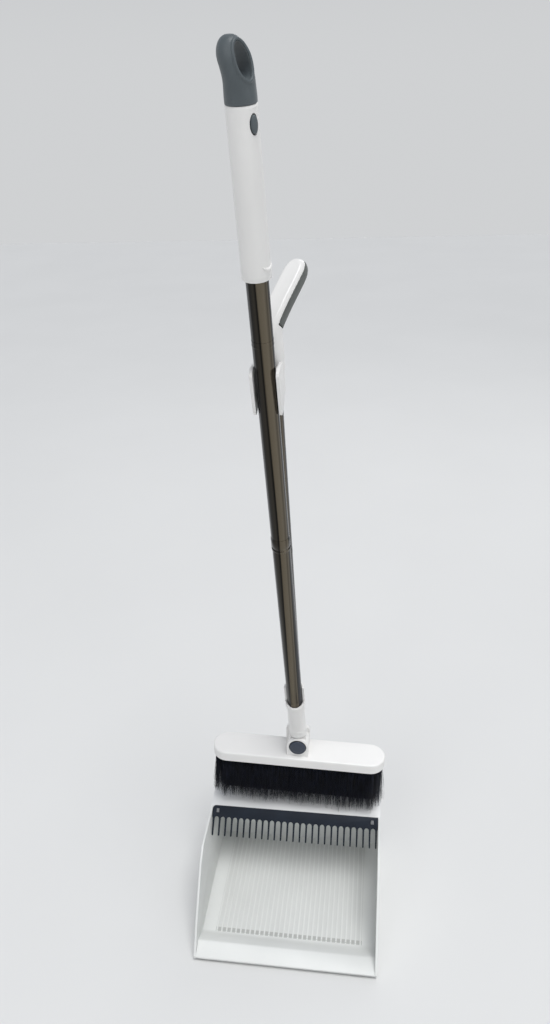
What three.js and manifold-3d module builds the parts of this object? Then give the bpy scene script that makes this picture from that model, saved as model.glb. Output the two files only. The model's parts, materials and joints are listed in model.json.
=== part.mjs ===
// Upright dustpan with a long-handled broom clipped to its pole.
// Millimetres, +Z up. The origin is on the floor, at the centre of the pan's flat underside.
// The pan's mouth faces -Y and the poles stand at its rear (+Y) side, leaning over the pan.

import * as THREE from "three";
import { mergeVertices } from "three/addons/utils/BufferGeometryUtils.js";
import Module from "manifold-3d";

const wasm = await Module();
wasm.setup();

// ---------------------------------------------------------------- driving dimensions
const GAP = 0.3; // running gap between neighbouring pieces
const SIDES = 28; // facets on a pole-sized round

// pan
const PAN_WIDTH = 244;
const PAN_WALL = 2.6;
const PAN_FLOOR = 2.6;
const LIP_Y = -121.5;
const FOOT_Y = -111; // where the side walls leave the floor, behind the raised lip
const REAR_Y = 90;
const WALL_TOP = 114;
const CREST_Y = -100; // top of the ramp behind the lip
const CREST_Z = 14;
const RIB_COUNT = 31;
const RIB_PITCH = 6.6;
const RIB_REAR_Y = 78;
const RIB_HEIGHT = 1.8;
const HOOD_FRONT_Y = 39;

// comb of teeth under the hood's front edge
const COMB_SLOPE = THREE.MathUtils.degToRad(45);
const COMB_WIDTH = 238;
const COMB_STRIP = 15;
const TOOTH_COUNT = 27;
const TOOTH_LENGTH = 26;
const TOOTH_WIDTH = 2.6;
const COMB_THICK = 2;
const COMB_TAB_X = 111; // the hood's two snap tabs pass through the comb near its ends
const COMB_TAB_HALF = 1.8;

// poles
const LEAN = THREE.MathUtils.degToRad(11.5); // forward lean of both poles
const BROOM_SWAY = THREE.MathUtils.degToRad(0.6); // sideways lean of the broom in its clip
const TUBE_R = 10;
const TUBE_WALL = 0.8;
const POLE_GAP = 30; // between the two pole axes
const PIN_Y = 125.5;
const PIN_Z = 70;
const PIN_R = 3;

// broom, heights measured up its pole from the head's pivot
const PIVOT_UP = 171.5; // pivot's height along the dustpan pole, from the pan's pin
const PIVOT_X = 6;
const SOCKET_FLOOR = 50;
const SOCKET_FRONT = 86.5; // lowest point of the open front
const SOCKET_TOP = 117;
const SEAM_1 = 363.5;
const SEAM_2 = 608.5;
const GRIP_BOTTOM = 667.5;
const GRIP_TOP = 800.5;
const GRIP_R = 12.6;
const LOOP_HEIGHT = 43;
const EYE_UP = 26.5; // the eye's middle above the loop's foot
const EYE_HALF_H = 12.4;
const EYE_HALF_W = 7.4;
const GRIP_TURN = THREE.MathUtils.degToRad(52); // the loop's eye and the tab face this far right

// broom head
const HEAD_LENGTH = 241;
const HEAD_DEPTH = 42;
const HEAD_THICK = 15.5;
const HEAD_TOP = -16; // below the pivot
const BRISTLE_TIP = -104;
const HEAD_TILT = THREE.MathUtils.degToRad(1.8); // the resting head hangs a little low at its right end
const DRUM_R = 14.6;
const DRUM_HALF = 8.8;

// dustpan pole, heights measured up the pole from the pan's pin
const YOKE_TOP = 64;
const DUST_SEAM_1 = 262;
const DUST_SEAM_2 = 502;
const SLEEVE_BOTTOM = 706;
const ARM_ROOT = 776;
const ARM_OUT = 68; // how far the arm's tip stands behind the pole
const ARM_RISE = 39.5;
const HANDLE_TWIST = THREE.MathUtils.degToRad(-23.5);
const SLEEVE_R = 13.5;
const CLIP_BOTTOM = 702;
const CLIP_INNER = 10.9; // half the space between the clip's two arms
const CLIP_WALL = 3;

// fixings
const SCREW_R = 1.5;
const SCREW_HEAD_R = 3;
const LUG_IN = 16.8; // the pan's two hinge lugs, measured out from the middle
const LUG_OUT = 23;
const LUG_R = 11.5;
const YOKE_R = 12.8;
const BARREL_HALF = 15.2;
const CHEEK_IN = 9.2; // the head's two pivot cheeks, measured out from the pivot's middle
const CHEEK_OUT = 14.4;
const FRONT_CHEEK_R = 15;
const REAR_CHEEK_X = -1.9;
const REAR_CHEEK_HALF = 16.4;
const REAR_CHEEK_TOP = 16;
const REAR_CHEEK_CORNER = 6;
const BASE_SCREW_X = [-99.2, -37.2, 37.2, 99.2];
const YOKE_SCREW_UP = 44;
const CLIP_SCREW_UP = 25;
const PLUG_R = 6; // bore of the plugs inside the tube seams

// ---------------------------------------------------------------- materials
function finish(color, roughness, metalness = 0) {
  return new THREE.MeshStandardMaterial({ color, roughness, metalness });
}
const WHITE = finish(0xe9ebe8, 0.35);
const SLATE = finish(0x4a545e, 0.6);
const COMB_NAVY = finish(0x2a3542, 0.45);
const STEEL = finish(0x8a8478, 0.22, 1);
const SCREW = finish(0xb4b4b0, 0.3, 1);
const BRISTLE = finish(0x0c1016, 0.7);
const BLACK = finish(0x1b1d20, 0.55);

// ---------------------------------------------------------------- solids
function toSolid(geometry) {
  const g = geometry.clone();
  g.deleteAttribute("normal");
  g.deleteAttribute("uv");
  const m = mergeVertices(g, 1e-4);
  return new wasm.Manifold(new wasm.Mesh({
    numProp: 3,
    vertProperties: new Float32Array(m.attributes.position.array),
    triVerts: new Uint32Array(m.index.array),
  }));
}

function toGeometry(solid) {
  const mesh = solid.getMesh();
  const g = new THREE.BufferGeometry();
  g.setAttribute("position", new THREE.BufferAttribute(new Float32Array(mesh.vertProperties), 3));
  g.setIndex(new THREE.BufferAttribute(new Uint32Array(mesh.triVerts), 1));
  return g;
}

const join = (...parts) => toGeometry(parts.map(toSolid).reduce((a, b) => a.add(b)));
const cut = (body, ...tools) => toGeometry(tools.map(toSolid).reduce((a, b) => a.subtract(b), toSolid(body)));
const common = (a, b) => toGeometry(toSolid(a).intersect(toSolid(b)));

// A box between two corners.
function block(x0, x1, y0, y1, z0, z1) {
  const g = new THREE.BoxGeometry(x1 - x0, y1 - y0, z1 - z0);
  return g.translate((x0 + x1) / 2, (y0 + y1) / 2, (z0 + z1) / 2);
}

// A round bar or cone along Z.
function rod(z0, z1, r0, r1 = r0, sides = SIDES) {
  const g = new THREE.CylinderGeometry(r1, r0, z1 - z0, sides);
  return g.rotateX(Math.PI / 2).translate(0, 0, (z0 + z1) / 2);
}

const rodAlongX = (x0, x1, r, sides = SIDES) => rod(x0, x1, r, r, sides).rotateY(Math.PI / 2);
const rodAlongY = (y0, y1, r, sides = SIDES) => rod(-y1, -y0, r, r, sides).rotateX(Math.PI / 2);

// A tube open at both ends.
function pipe(z0, z1, outer, inner, sides = SIDES) {
  const profile = [[inner, z0], [outer, z0], [outer, z1], [inner, z1], [inner, z0]];
  const points = profile.map(([r, z]) => new THREE.Vector2(r, z));
  return new THREE.LatheGeometry(points, sides).rotateX(Math.PI / 2);
}

// A side view drawn in Y and Z, extruded across X.
function slab(points, x0, x1) {
  const shape = new THREE.Shape(points.map(([y, z]) => new THREE.Vector2(y, z)));
  const g = new THREE.ExtrudeGeometry(shape, { depth: x1 - x0, bevelEnabled: false });
  return g.rotateY(Math.PI / 2).rotateX(Math.PI / 2).translate(x0, 0, 0);
}

// A closed skin over rings of equally many points, turned so that its faces point out.
function loft(rings) {
  const n = rings[0].length;
  const points = rings.flat();
  const index = [];
  rings.slice(1).forEach((ring, k) => {
    for (let i = 0; i < n; i++) {
      const a = k * n + i;
      const b = k * n + ((i + 1) % n);
      index.push(a, b, b + n, a, b + n, a + n);
    }
  });
  const centre = (ring) => ring.reduce((s, p) => s.add(p), new THREE.Vector3()).divideScalar(n);
  const first = points.push(centre(rings[0])) - 1;
  const last = points.push(centre(rings[rings.length - 1])) - 1;
  const top = (rings.length - 1) * n;
  for (let i = 0; i < n; i++) {
    const j = (i + 1) % n;
    index.push(first, j, i, last, top + i, top + j);
  }
  const volume = index.reduce((sum, _, k) => (
    k % 3 ? sum : sum + points[index[k]].dot(points[index[k + 1]].clone().cross(points[index[k + 2]]))), 0);
  const g = new THREE.BufferGeometry().setFromPoints(points);
  g.setIndex(volume < 0 ? index.reverse() : index);
  return g;
}

// A stadium outline in X and Y at one height.
function stadium(halfLength, halfDepth, z, steps = 10) {
  const ring = [];
  [1, -1].forEach((side) => {
    for (let i = 0; i <= steps; i++) {
      const a = (i / steps - 0.5) * Math.PI + (side < 0 ? Math.PI : 0);
      const x = side * (halfLength - halfDepth) + halfDepth * Math.cos(a);
      ring.push(new THREE.Vector3(x, halfDepth * Math.sin(a), z));
    }
  });
  return ring;
}

// A screw pointing down -Z from its head's seat at the origin.
function screw(length, shank = SCREW_R, head = SCREW_HEAD_R) {
  return join(rod(-length, 0.2, shank, shank, 10), rod(0, 1.6, head, head * 0.75, 14));
}

function part(name, geometry, material, parent) {
  const mesh = new THREE.Mesh(geometry, material);
  mesh.name = name;
  parent.add(mesh);
}

// ---------------------------------------------------------------- frames
const set = new THREE.Group();

const dustPole = new THREE.Group();
dustPole.position.set(0, PIN_Y, PIN_Z);
dustPole.rotation.x = LEAN;
set.add(dustPole);

const handleFrame = new THREE.Group();
handleFrame.rotation.z = HANDLE_TWIST;
dustPole.add(handleFrame);

const pivotPoint = new THREE.Vector3(PIVOT_X, -POLE_GAP, PIVOT_UP);
pivotPoint.applyEuler(new THREE.Euler(LEAN, 0, 0)).add(dustPole.position);

const headFrame = new THREE.Group();
headFrame.position.copy(pivotPoint);
headFrame.rotation.y = HEAD_TILT;
set.add(headFrame);

const broomPole = new THREE.Group();
broomPole.position.copy(pivotPoint);
broomPole.rotation.set(LEAN, -BROOM_SWAY, 0);
set.add(broomPole);

const gripFrame = new THREE.Group();
gripFrame.rotation.z = GRIP_TURN;
broomPole.add(gripFrame);

// ---------------------------------------------------------------- pan
const HALF = PAN_WIDTH / 2;

function makeTray() {
  const wallSide = [
    [LIP_Y, 5.6], [FOOT_Y, 0], [REAR_Y, 0], [REAR_Y, WALL_TOP], [-22, WALL_TOP], [-30, WALL_TOP - 1.6],
    [-37, WALL_TOP - 6], [-49, 100], [-72, 73], [-96, 45], [LIP_Y + 2, 11], [LIP_Y, 9.4],
  ];
  const floorSide = [
    [LIP_Y, 6], [LIP_Y, 8.6], [CREST_Y - 2, CREST_Z - 0.2], [CREST_Y + 1, CREST_Z],
    [CREST_Y + 6, CREST_Z - 2.6], [CREST_Y + 17, PAN_FLOOR + 1], [CREST_Y + 22, PAN_FLOOR],
    [REAR_Y, PAN_FLOOR], [REAR_Y, 0], [CREST_Y + 19, 0],
    [CREST_Y + 4, CREST_Z - 5.4], [CREST_Y - 1, CREST_Z - 3],
  ];
  const walls = [slab(wallSide, -HALF, PAN_WALL - HALF), slab(wallSide, HALF - PAN_WALL, HALF)];
  const rear = block(-HALF, HALF, REAR_Y - PAN_WALL, REAR_Y, 0, WALL_TOP);
  const ribs = [];
  for (let i = 0; i < RIB_COUNT; i++) {
    const x = (i - (RIB_COUNT - 1) / 2) * RIB_PITCH;
    ribs.push(block(x - 0.8, x + 0.8, CREST_Y + 23, RIB_REAR_Y, PAN_FLOOR - 0.5, PAN_FLOOR + RIB_HEIGHT));
  }
  const lugSide = [[REAR_Y - 1, 52], [REAR_Y - 1, 88], [PIN_Y - 4, PIN_Z + 11]];
  for (let i = 1; i <= 10; i++) {
    const a = (110 - i * 22) * (Math.PI / 180);
    lugSide.push([PIN_Y + LUG_R * Math.cos(a), PIN_Z + LUG_R * Math.sin(a)]);
  }
  const lugs = [-1, 1].map((s) => slab(lugSide, s > 0 ? LUG_IN : -LUG_OUT, s > 0 ? LUG_OUT : -LUG_IN));
  const stop = block(-9, 9, REAR_Y - 1, PIN_Y - 11, 92, STOP_TOP);
  const yokeRoom = rod(-20, YOKE_TOP, YOKE_R + GAP).rotateX(LEAN).translate(0, PIN_Y, PIN_Z);
  const pinHole = rodAlongX(-30, 30, PIN_R + GAP, 18).translate(0, PIN_Y, PIN_Z);
  return cut(join(slab(floorSide, -HALF, HALF), ...walls, rear, ...ribs, ...lugs, stop), yokeRoom, pinHole);
}

const FLANGE = COMB_STRIP - 1;
const HOOD_TOP = WALL_TOP + GAP + 2.4;
const STOP_TOP = 104; // the block behind the rear wall that the pole leans on
const SKIRT_Z = STOP_TOP + GAP;

function makeHood() {
  const c = Math.cos(COMB_SLOPE);
  const t = 2.4;
  const side = [
    [HOOD_FRONT_Y, HOOD_TOP], [REAR_Y - 6, HOOD_TOP + 1.5], [REAR_Y - 1, HOOD_TOP + 0.4],
    [REAR_Y + 2, HOOD_TOP - 3], [REAR_Y + GAP + t, HOOD_TOP - 8], [REAR_Y + GAP + t, SKIRT_Z],
    [REAR_Y + GAP, SKIRT_Z],
    [REAR_Y + GAP, WALL_TOP + GAP], [HOOD_FRONT_Y + 1, WALL_TOP + GAP],
    [HOOD_FRONT_Y - FLANGE * c + t * c, HOOD_TOP - FLANGE * c - t * c],
    [HOOD_FRONT_Y - FLANGE * c, HOOD_TOP - FLANGE * c],
  ];
  const skin = slab(side, -HALF, HALF);
  const inside = HALF - PAN_WALL - GAP;
  const outside = [[-HALF - 1, -inside], [inside, HALF + 1]].map(([x0, x1]) => block(
    x0, x1, -10, REAR_Y + GAP, 80, WALL_TOP + GAP));
  const flanges = [[-inside, 2 - inside], [inside - 2, inside]].map(([x0, x1]) => block(
    x0, x1, HOOD_FRONT_Y + 4, REAR_Y - PAN_WALL - GAP, SKIRT_Z, WALL_TOP + 1));
  const yokeRoom = rod(0, YOKE_TOP + 30, YOKE_R + 2).rotateX(LEAN).translate(0, PIN_Y, PIN_Z);
  return cut(join(skin, ...flanges), ...outside, yokeRoom);
}

// The comb is drawn flat, its strip above Y = 0 and its teeth below, and then laid on the hood's front slope.
function makeComb() {
  const half = COMB_WIDTH / 2;
  const pitch = (COMB_WIDTH - TOOTH_WIDTH - 2) / (TOOTH_COUNT - 1);
  const gapR = (pitch - TOOTH_WIDTH) / 2;
  const shape = new THREE.Shape();
  shape.moveTo(-half, 0);
  shape.lineTo(-half, COMB_STRIP - 5);
  shape.absarc(-half + 5, COMB_STRIP - 5, 5, Math.PI, Math.PI / 2, true);
  shape.lineTo(half, COMB_STRIP);
  shape.lineTo(half, 0);
  for (let i = TOOTH_COUNT - 1; i >= 0; i--) {
    const x = (i - (TOOTH_COUNT - 1) / 2) * pitch;
    const w = TOOTH_WIDTH / 2;
    shape.lineTo(x + w, -gapR);
    shape.lineTo(x + w * 0.8, 1 - TOOTH_LENGTH);
    shape.lineTo(x + w * 0.4, -TOOTH_LENGTH);
    shape.lineTo(x - w * 0.4, -TOOTH_LENGTH);
    shape.lineTo(x - w * 0.8, 1 - TOOTH_LENGTH);
    shape.lineTo(x - w, -gapR);
    if (i > 0) {
      for (let k = 1; k < 5; k++) {
        const a = (k / 5) * Math.PI;
        shape.lineTo(x - w - gapR + gapR * Math.cos(a), -gapR + gapR * Math.sin(a));
      }
    }
  }
  return new THREE.ExtrudeGeometry(shape, { depth: COMB_THICK, bevelEnabled: false, curveSegments: 5 });
}

function addPan() {
  part("pan_tray", makeTray(), WHITE, set);
  const slope = new THREE.Group();
  slope.position.set(0, HOOD_FRONT_Y, HOOD_TOP);
  slope.rotation.x = COMB_SLOPE;
  set.add(slope);
  const stripBottom = -COMB_STRIP - 0.5;
  const middle = stripBottom + COMB_STRIP / 2;
  const atEnds = (half, z0, z1) => [-COMB_TAB_X, COMB_TAB_X].map((x) => block(
    x - half, x + half, middle - half, middle + half, z0, z1));
  const slots = atEnds(COMB_TAB_HALF + GAP, -1, COMB_THICK + 2);
  const stems = atEnds(COMB_TAB_HALF, -1.5, COMB_THICK + GAP + 1.5);
  const hooks = [-COMB_TAB_X, COMB_TAB_X].map((x) => block(
    x - COMB_TAB_HALF, x + COMB_TAB_HALF, middle - COMB_TAB_HALF, middle + COMB_TAB_HALF + 1.6,
    COMB_THICK + 2 * GAP, COMB_THICK + 2 * GAP + 1.6));
  const toWorld = new THREE.Matrix4().makeRotationX(COMB_SLOPE).setPosition(0, HOOD_FRONT_Y, HOOD_TOP);
  const tabs = [...stems, ...hooks].map((g) => g.applyMatrix4(toWorld));
  part("pan_hood", join(makeHood(), ...tabs), WHITE, set);
  part("comb", cut(makeComb().translate(0, stripBottom, GAP), ...slots), COMB_NAVY, slope);
}

function addPanHinge() {
  const at = (g) => g.translate(0, PIN_Y, PIN_Z);
  part("pan_hinge_pin", at(rodAlongX(-LUG_OUT - 0.4, LUG_OUT + 0.4, PIN_R, 18)), SCREW, set);
  [["left", -1], ["right", 1]].forEach(([name, s]) => {
    const cap = rod(0, 3.4, 8, 6, 20).rotateY((s * Math.PI) / 2).translate(s * (LUG_OUT + 0.4 + GAP), 0, 0);
    part(`pan_hinge_cap_${name}`, at(cap), SLATE, set);
    const washer = pipe(-0.5, 0.5, 9, PIN_R + GAP, 20).rotateY(Math.PI / 2);
    washer.translate((s * (BARREL_HALF + LUG_IN)) / 2, 0, 0);
    part(`pan_hinge_washer_${name}`, washer, BLACK, dustPole);
  });
}

// ---------------------------------------------------------------- dustpan pole
// Each seam is its height, how far its collar reaches above it, and how proud of the tube the collar stands.
function addTubes(parent, prefix, stations, seams) {
  const names = ["lower", "middle", "upper"];
  names.forEach((name, i) => {
    const z0 = stations[i] + (i ? GAP / 2 : 0);
    const tube = pipe(z0, stations[i + 1] - GAP / 2, TUBE_R, TUBE_R - TUBE_WALL);
    part(`${prefix}_tube_${name}`, tube, STEEL, parent);
  });
  seams.forEach(([z, above, proud], i) => {
    const name = ["lower", "upper"][i];
    part(`${prefix}_plug_${name}`, pipe(z - 20, z + 20, TUBE_R - TUBE_WALL - GAP, PLUG_R, 20), BLACK, parent);
    part(`${prefix}_collar_${name}`, pipe(z - 3, z + above, TUBE_R + proud, TUBE_R + 0.2), STEEL, parent);
  });
}

function addDustPole() {
  const barrel = rodAlongX(-BARREL_HALF, BARREL_HALF, LUG_R - 1);
  const cup = rod(0, YOKE_TOP, YOKE_R - 0.6, YOKE_R - 0.2);
  const bore = rod(20, YOKE_TOP + 1, TUBE_R + GAP);
  const screwHole = rodAlongY(-20, 20, SCREW_R + GAP, 12).translate(0, 0, YOKE_SCREW_UP);
  const pinHole = rodAlongX(-30, 30, PIN_R + GAP, 18);
  part("pole_yoke", cut(join(barrel, cup), bore, pinHole, screwHole), WHITE, dustPole);
  addTubes(dustPole, "dustpan", [20 + GAP, DUST_SEAM_1, DUST_SEAM_2, 758], [
    [DUST_SEAM_1, 3, 0.5], [DUST_SEAM_2, 3, 0.5],
  ]);
  const lower = dustPole.getObjectByName("dustpan_tube_lower");
  lower.geometry = cut(lower.geometry, screwHole);
  const yokeScrew = screw(16).rotateX(-Math.PI / 2).translate(0, YOKE_R + 0.1, YOKE_SCREW_UP);
  part("yoke_screw", yokeScrew, SCREW, dustPole);
}

// The handle is swept up the pole and then back along its arm; a section is a superellipse in X and across.
const ARM_HALF = 11; // half the arm's width and height
const ARM_FLAT = 9.2; // height of the arm's flat top above its middle
const GRIP_SPLIT = 4.6; // height on the arm's section where the white top meets the soft grip

function armPath() {
  return new THREE.CatmullRomCurve3([
    new THREE.Vector3(0, 0, ARM_ROOT - 34), new THREE.Vector3(0, 0, ARM_ROOT - 16),
    new THREE.Vector3(0, 5, ARM_ROOT + 1), new THREE.Vector3(0, 22, ARM_ROOT + 14),
    new THREE.Vector3(0, ARM_OUT * 0.64, ARM_ROOT + ARM_RISE * 0.66),
    new THREE.Vector3(0, ARM_OUT, ARM_ROOT + ARM_RISE),
  ], false, "centripetal");
}

// from and to are places along the path; low and high bound the section's height, which shrinks at the tip.
function armSweep(from, to, low, high) {
  const path = armPath();
  const rings = [];
  const stations = 13;
  for (let k = 0; k <= stations; k++) {
    const u = from + ((to - from) * k) / stations;
    const p = path.getPointAt(Math.min(u, 1));
    const tangent = path.getTangentAt(Math.min(u, 1));
    const up = new THREE.Vector3(0, -tangent.z, tangent.y);
    const toTip = Math.max(0, (u - 0.86) / 0.14);
    const shrink = Math.sqrt(Math.max(0.12, 1 - 0.88 * toTip * toTip));
    const toArm = THREE.MathUtils.smoothstep(u, 0.19, 0.45);
    const half = THREE.MathUtils.lerp(SLEEVE_R - 0.1, ARM_HALF, toArm) * shrink;
    const flat = THREE.MathUtils.lerp(SLEEVE_R, ARM_FLAT, toArm);
    const power = THREE.MathUtils.lerp(1, 0.8, toArm);
    const ring = [];
    const n = 18;
    for (let i = 0; i < n; i++) {
      const a = (i / n) * Math.PI * 2;
      const round = (v) => Math.sign(v) * Math.abs(v) ** power;
      const x = round(Math.cos(a)) * half;
      const h = THREE.MathUtils.clamp(round(Math.sin(a)) * half, low, Math.min(high, flat));
      ring.push(p.clone().add(new THREE.Vector3(x, 0, 0)).addScaledVector(up, h));
    }
    rings.push(ring);
  }
  return loft(rings);
}

function addHandle() {
  const GRIP_START = 0.42;
  const sleeve = rod(SLEEVE_BOTTOM, ARM_ROOT - 12, SLEEVE_R - 0.4, SLEEVE_R);
  const full = armSweep(0, 1, -99, 99);
  const under = armSweep(GRIP_START, 1.2, -99, GRIP_SPLIT - GAP);
  const bore = rod(SLEEVE_BOTTOM - 1, 758 + GAP, TUBE_R + GAP);
  const slant = block(-30, 30, -60, 60, -20, 0).rotateX(0.35).translate(0, 0, SLEEVE_BOTTOM + 3);
  const lowerHalf = armHalfSpace(GRIP_START - 0.012, GRIP_SPLIT);
  part("handle_shell", cut(join(sleeve, full), bore, slant, lowerHalf), WHITE, handleFrame);
  part("handle_grip", common(full, under), SLATE, handleFrame);
}

// The space under the arm that the soft grip fills: a wide sweep below the split line.
function armHalfSpace(from, high) {
  const path = armPath();
  const rings = [];
  for (let k = 0; k <= 12; k++) {
    const u = from + ((1 - from) * k) / 12;
    const p = path.getPointAt(u);
    const tangent = path.getTangentAt(u);
    const up = new THREE.Vector3(0, -tangent.z, tangent.y);
    const reach = k === 12 ? 6 : 0;
    p.addScaledVector(tangent, reach);
    const corner = (x, h) => p.clone().add(new THREE.Vector3(x, 0, 0)).addScaledVector(up, h);
    rings.push([corner(20, high), corner(-20, high), corner(-20, -24), corner(20, -24)]);
  }
  return loft(rings);
}

function addClip() {
  const z0 = CLIP_BOTTOM;
  const armSide = [
    [-12, z0 + 10], [-12, z0 + 48], [-33, z0 + 53], [-39.5, z0 + 51], [-41, z0 + 48], [-37, z0 + 8],
    [-35, z0 + 4], [-29, z0 + 4],
  ];
  const outer = CLIP_INNER + CLIP_WALL;
  const arms = [-1, 1].map((s) => slab(armSide, s > 0 ? CLIP_INNER : -outer, s > 0 ? outer : -CLIP_INNER));
  const web = block(-CLIP_INNER - 1, CLIP_INNER + 1, -18.6, -12, z0 + 8, z0 + 42);
  const saddleRoom = rod(z0 - 20, z0 + 90, SLEEVE_R + GAP);
  const hole = rodAlongY(-40, 0, SCREW_R + GAP, 12).translate(0, 0, z0 + CLIP_SCREW_UP);
  part("broom_clip", cut(join(...arms, web), saddleRoom, hole), WHITE, dustPole);
  const clipScrew = join(rodAlongY(-18.9, -14.2, SCREW_R, 10), rodAlongY(-19.8, -18.9, SCREW_HEAD_R, 14));
  part("clip_screw", clipScrew.translate(0, 0, z0 + CLIP_SCREW_UP), SCREW, dustPole);
}

// ---------------------------------------------------------------- broom pole
function makeSocket() {
  const toPole = new THREE.Matrix4().makeRotationFromEuler(new THREE.Euler(LEAN, -BROOM_SWAY, 0)).invert();
  const drum = rodAlongY(-DRUM_HALF, DRUM_HALF, DRUM_R).applyMatrix4(toPole);
  const throatRing = (z, front, rear) => [[-11.2, front], [11.2, front], [11.2, rear], [-11.2, rear]]
    .map(([x, y]) => new THREE.Vector3(x, y, z));
  const throat = loft([throatRing(0, -8.4, 8.4), throatRing(16.5, -8.4, 8.4), throatRing(23, -10.6, 6)])
    .applyMatrix4(toPole);
  const neck = rod(18.5, SOCKET_TOP, 11.5, 11.3);
  const rim = rod(SOCKET_FRONT - 6, SOCKET_TOP, 13);
  const mouth = [-40, -1].map((y) => {
    const ring = [new THREE.Vector3(14, y, SOCKET_TOP + 1), new THREE.Vector3(-14, y, SOCKET_TOP + 1)];
    for (let i = 0; i <= 12; i++) {
      const a = Math.PI * (1 + i / 12);
      ring.push(new THREE.Vector3(14 * Math.cos(a), y, SOCKET_FRONT + 9 + 9 * Math.sin(a)));
    }
    return ring;
  });
  const bore = rod(SOCKET_FLOOR, SOCKET_TOP + 20, TUBE_R + GAP);
  const pinHole = rodAlongY(-20, 20, PIN_R + GAP, 18).applyMatrix4(toPole);
  return cut(join(drum, throat, neck, rim), loft(mouth), bore, pinHole);
}

function makeGripSleeve() {
  const outer = rod(GRIP_BOTTOM, GRIP_TOP, GRIP_R + 0.2, GRIP_R - 0.2, 32);
  const bore = rod(GRIP_BOTTOM - 1, GRIP_TOP + 1, TUBE_R + GAP);
  const lip = common(pipe(GRIP_BOTTOM + 9, GRIP_BOTTOM + 13, GRIP_R + 1.2, GRIP_R - 1, 32),
    block(-8, 8, -20, 0, GRIP_BOTTOM, GRIP_BOTTOM + 20));
  const window = tabPrism(TAB_HALF_H + 1.2, TAB_HALF_W + 1, -20, -5);
  return cut(join(outer, lip), bore, window);
}

const TAB_Z = GRIP_TOP - 13;
const TAB_HALF_H = 6.6;
const TAB_HALF_W = 3.2;
// An upright oval prism along Y, halfHeight by halfWidth, centred on the release tab.
function tabPrism(halfHeight, halfWidth, y0, y1) {
  const oval = (y, k) => Array.from({ length: 16 }, (_, i) => {
    const a = (i / 16) * Math.PI * 2;
    return new THREE.Vector3(halfWidth * k * Math.cos(a), y, TAB_Z + halfHeight * k * Math.sin(a));
  });
  return loft([oval(y1, 1), oval(y0 + 0.8, 1), oval(y0, 0.8)]);
}

// The loop is an upright ring: a bent bar's side view cut to a rounded front view, with a slanted eye.
function makeLoop() {
  const base = GRIP_TOP + GAP;
  const rings = [];
  const stations = 14;
  for (let k = 0; k <= stations; k++) {
    const t = k / stations;
    const z = base + LOOP_HEIGHT * (1 - (1 - t) ** 1.25);
    const rise = (z - base) / LOOP_HEIGHT;
    const bend = 6.5 * THREE.MathUtils.smoothstep(rise, 0.35, 1);
    const close = Math.sqrt(Math.max(0.03, 1 - Math.max(0, (rise - 0.62) / 0.38) ** 2));
    const neck = 1 - 0.08 * Math.sin(Math.PI * THREE.MathUtils.clamp((rise - 0.15) / 0.6, 0, 1));
    const halfX = (GRIP_R - 0.2) * (0.18 + 0.82 * close);
    const halfY = (GRIP_R - 0.2) * neck * (0.25 + 0.75 * close);
    const ring = [];
    for (let i = 0; i < 28; i++) {
      const a = (i / 28) * Math.PI * 2;
      ring.push(new THREE.Vector3(halfX * Math.cos(a), bend + halfY * Math.sin(a), z));
    }
    rings.push(ring);
  }
  const body = loft(rings);
  const eye = loft([-30, 40].map((y) => Array.from({ length: 20 }, (_, i) => {
    const a = (i / 20) * Math.PI * 2;
    const z = base + EYE_UP + (y < 0 ? -2 : 2) + EYE_HALF_H * Math.sin(a);
    return new THREE.Vector3(EYE_HALF_W * Math.cos(a), y, z);
  })).reverse());
  const plug = rod(GRIP_TOP - 28, base + 1, 9.9);
  const pocket = tabPrism(TAB_HALF_H + GAP, TAB_HALF_W + GAP, -20, -0.5);
  return cut(join(body, plug), eye, pocket);
}

function makeTab() {
  const body = tabPrism(TAB_HALF_H, TAB_HALF_W, -GRIP_R - 1.1, -4.4);
  return cut(body, rodAlongY(-9, -3, 2.2, 12).translate(0, 0, TAB_Z));
}

function makeTabSpring() {
  const WIRE_R = 0.3;
  const turns = 3;
  const steps = turns * 10;
  const rings = [];
  for (let k = 0; k <= steps; k++) {
    const a = (k / steps) * turns * Math.PI * 2;
    const y = -1.2 - 4.4 * (k / steps);
    const centre = new THREE.Vector3(1.6 * Math.cos(a), y, TAB_Z + 1.6 * Math.sin(a));
    const out = new THREE.Vector3(Math.cos(a), 0, Math.sin(a));
    rings.push(Array.from({ length: 5 }, (_, i) => {
      const b = (i / 5) * Math.PI * 2;
      const across = new THREE.Vector3(0, WIRE_R * Math.sin(b), 0);
      return centre.clone().addScaledVector(out, WIRE_R * Math.cos(b)).add(across);
    }));
  }
  return loft(rings);
}

function addBroomPole() {
  part("head_socket", makeSocket(), WHITE, broomPole);
  addTubes(broomPole, "broom", [SOCKET_FLOOR + GAP, SEAM_1, SEAM_2, GRIP_TOP - 29], [
    [SEAM_1, 15, 0.6], [SEAM_2, 3, 0.5],
  ]);
  part("grip_sleeve", makeGripSleeve(), WHITE, gripFrame);
  part("hanging_loop", makeLoop(), SLATE, gripFrame);
  part("loop_release_tab", makeTab(), SLATE, gripFrame);
  part("loop_tab_spring", makeTabSpring(), SCREW, gripFrame);
}

// ---------------------------------------------------------------- broom head
const HEAD_HALF = HEAD_LENGTH / 2;
const HEAD_BOTTOM = HEAD_TOP - HEAD_THICK;
const BASE_THICK = 6;

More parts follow.
